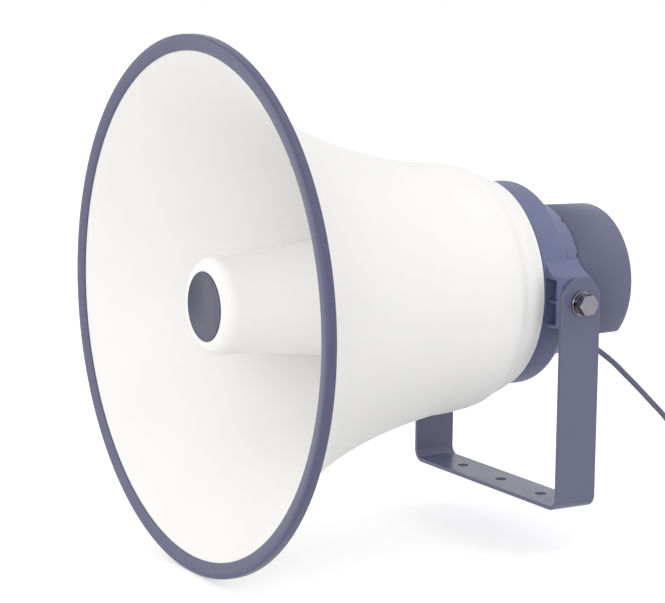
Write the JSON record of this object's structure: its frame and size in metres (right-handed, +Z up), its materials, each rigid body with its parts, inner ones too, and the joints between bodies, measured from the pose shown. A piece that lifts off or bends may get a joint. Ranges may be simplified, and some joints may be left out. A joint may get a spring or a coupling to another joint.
{
  "type": "pa horn speaker",
  "caption": "Round public-address reflex horn with a flared bell, central reflector, cast rear housing and cover, held in a tilting U bracket with a trailing cord.",
  "frame": {"origin": "middle of the underside of the U bracket's base, at its centre fixing hole", "axes": "+Z up through the bracket's arms, mouth towards -Y, bracket's arms apart along X"},
  "size_m": [0.51, 0.7089, 0.51],
  "materials": {
    "white_paint": "white powder coat on spun aluminium",
    "blue_paint": "blue-grey powder coat on aluminium",
    "bracket_paint": "blue-grey powder coat on steel",
    "bright_steel": "bright zinc plate",
    "dark_steel": "plain steel",
    "ferrite": "sintered ferrite",
    "rubber": "matte",
    "black_plastic": "moulded black",
    "copper": "enamelled copper wire",
    "film": "pressed resin film",
    "sheath": "blue-grey sheath"
  },
  "bodies": {
    "bracket": {"u_bracket": "bracket_paint", "cord_coil": "sheath"},
    "diaphragm": {"diaphragm": "film", "voice_coil": "copper"},
    "horn": {"badge_disc": "blue_paint", "base_frame": "blue_paint", "bell": "white_paint", "cable_gland": "black_plastic", "clamp_ring": "black_plastic", "cord": "sheath", "cover_post_1": "dark_steel", "cover_post_2": "dark_steel", "cover_post_3": "dark_steel", "cover_screw_1": "bright_steel", "cover_screw_2": "bright_steel", "cover_screw_3": "bright_steel", "driver_screw_1": "bright_steel", "driver_screw_2": "bright_steel", "driver_screw_3": "bright_steel", "driver_screw_4": "bright_steel", "flat_washer_far": "bright_steel", "flat_washer_near": "bright_steel", "gland_nut": "black_plastic", "horn_gasket": "rubber", "magnet_ring": "ferrite", "phase_plug": "black_plastic", "pivot_bolt_far": "bright_steel", "pivot_bolt_near": "bright_steel", "rear_cover": "blue_paint", "reflector": "white_paint", "reflector_post_1": "white_paint", "reflector_post_2": "white_paint", "reflector_post_3": "white_paint", "reflector_screw_1": "bright_steel", "reflector_screw_2": "bright_steel", "reflector_screw_3": "bright_steel", "rim_trim": "blue_paint", "spring_washer_far": "bright_steel", "spring_washer_near": "bright_steel", "throat_screw_1": "bright_steel", "throat_screw_2": "bright_steel", "throat_screw_3": "bright_steel", "throat_screw_4": "bright_steel", "throat_tube": "white_paint", "top_plate": "dark_steel", "transformer_core": "dark_steel", "transformer_tray": "dark_steel", "transformer_winding": "copper", "yoke": "dark_steel"}
  },
  "joints": [
    {"name": "horn_tilt", "type": "hinge", "parent": "bracket", "child": "horn", "pos_m": [0, 0, 0.205], "axis": [-1, 0, 0], "range_deg": [-42, 90], "deforming": ["cord"]},
    {"name": "diaphragm_travel", "type": "slide", "parent": "horn", "child": "diaphragm", "axis": [0, -1, 0], "range_m": [-0.0005, 0.0005], "stiffness_N_per_m": 2000}
  ]
}
